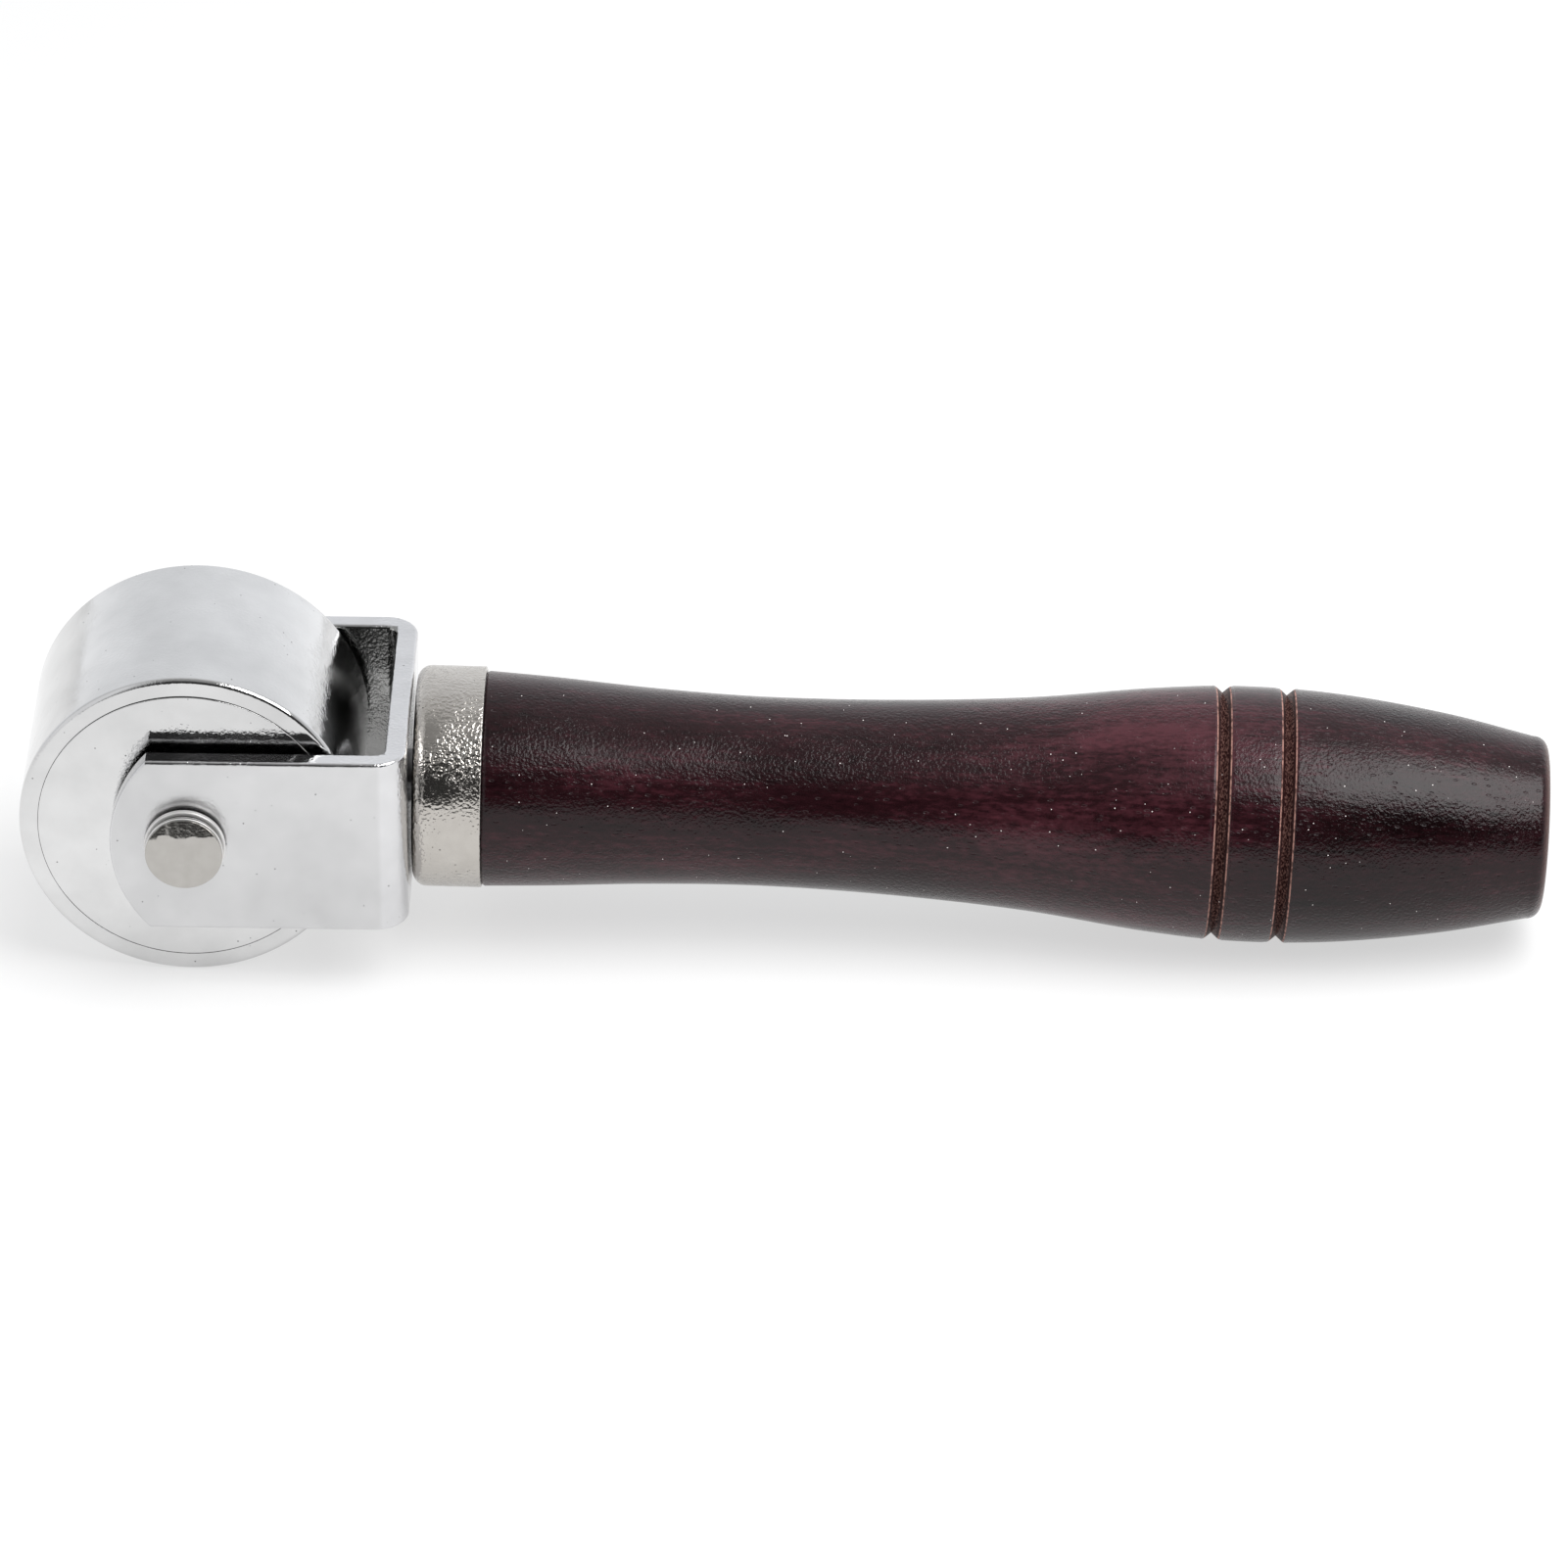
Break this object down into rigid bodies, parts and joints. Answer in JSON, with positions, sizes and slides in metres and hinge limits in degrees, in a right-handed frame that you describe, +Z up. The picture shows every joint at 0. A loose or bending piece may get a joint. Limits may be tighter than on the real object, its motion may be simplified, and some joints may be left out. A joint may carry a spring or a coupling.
{
  "type": "hand pressing roller",
  "caption": "Hand pressing roller: a chromed roller on ball bearings in a U-shaped fork, with a turned wooden handle, for rolling glued seams and edges flat.",
  "frame": {"origin": "on the table the tool lies on, under the middle of its bounding box", "axes": "+X from the roller to the butt of the handle, +Y across the tool along the roller's axle, +Z up"},
  "size_m": [0.1636, 0.037, 0.036],
  "materials": {
    "chrome_roller": "bright chrome plate with fine turning marks, pale bluish grey",
    "chrome_fork": "bright chrome plate over bent strip, with dark, rougher cut edges",
    "nickel_pin": "warm grey nickel, slightly uneven from peening",
    "bearing_steel": "ground bearing steel",
    "washer_steel": "plain zinc-coated steel",
    "screw_steel": "plain steel",
    "nickel_ferrule": "nickel plate over a drawn cup, warm grey with a slightly rippled surface",
    "stained_wood": "dark red-brown stain under semi-gloss lacquer, with grain and pores along the handle"
  },
  "bodies": {
    "fork_and_handle": {"fork": "chrome_fork", "axle_pin": "nickel_pin", "spacer_washer_front": "washer_steel", "spacer_washer_rear": "washer_steel", "bearing_inner_race_front": "bearing_steel", "bearing_inner_race_rear": "bearing_steel", "handle_screw": "screw_steel", "ferrule": "nickel_ferrule", "wooden_handle": "stained_wood"},
    "roller": {"roller_tube": "chrome_roller", "roller_cap_front": "chrome_roller", "roller_cap_rear": "chrome_roller", "bearing_outer_race_front": "bearing_steel", "bearing_outer_race_rear": "bearing_steel", "bearing_shield_front_outboard": "bearing_steel", "bearing_shield_front_inboard": "bearing_steel", "bearing_shield_rear_outboard": "bearing_steel", "bearing_shield_rear_inboard": "bearing_steel"},
    "cage_front": {"bearing_cage_front": "bearing_steel", "bearing_ball_front_1": "bearing_steel", "bearing_ball_front_2": "bearing_steel", "bearing_ball_front_3": "bearing_steel", "bearing_ball_front_4": "bearing_steel", "bearing_ball_front_5": "bearing_steel", "bearing_ball_front_6": "bearing_steel", "bearing_ball_front_7": "bearing_steel", "bearing_ball_front_8": "bearing_steel", "bearing_ball_front_9": "bearing_steel"},
    "cage_rear": {"bearing_cage_rear": "bearing_steel", "bearing_ball_rear_1": "bearing_steel", "bearing_ball_rear_2": "bearing_steel", "bearing_ball_rear_3": "bearing_steel", "bearing_ball_rear_4": "bearing_steel", "bearing_ball_rear_5": "bearing_steel", "bearing_ball_rear_6": "bearing_steel", "bearing_ball_rear_7": "bearing_steel", "bearing_ball_rear_8": "bearing_steel", "bearing_ball_rear_9": "bearing_steel"}
  },
  "joints": [
    {"name": "roller_spin", "type": "hinge", "parent": "fork_and_handle", "child": "roller", "pos_m": [-0.06377, 0, 0.018], "axis": [0, 1, 0], "continuous": true},
    {"name": "cage_front_spin", "type": "hinge", "parent": "fork_and_handle", "child": "cage_front", "pos_m": [-0.06377, 0, 0.018], "axis": [0, 1, 0], "continuous": true},
    {"name": "cage_rear_spin", "type": "hinge", "parent": "fork_and_handle", "child": "cage_rear", "pos_m": [-0.06377, 0, 0.018], "axis": [0, 1, 0], "continuous": true}
  ],
  "couplings": [
    {"joint": "cage_front_spin", "follows": "roller_spin", "ratio": 0.59917},
    {"joint": "cage_rear_spin", "follows": "roller_spin", "ratio": 0.59917}
  ]
}
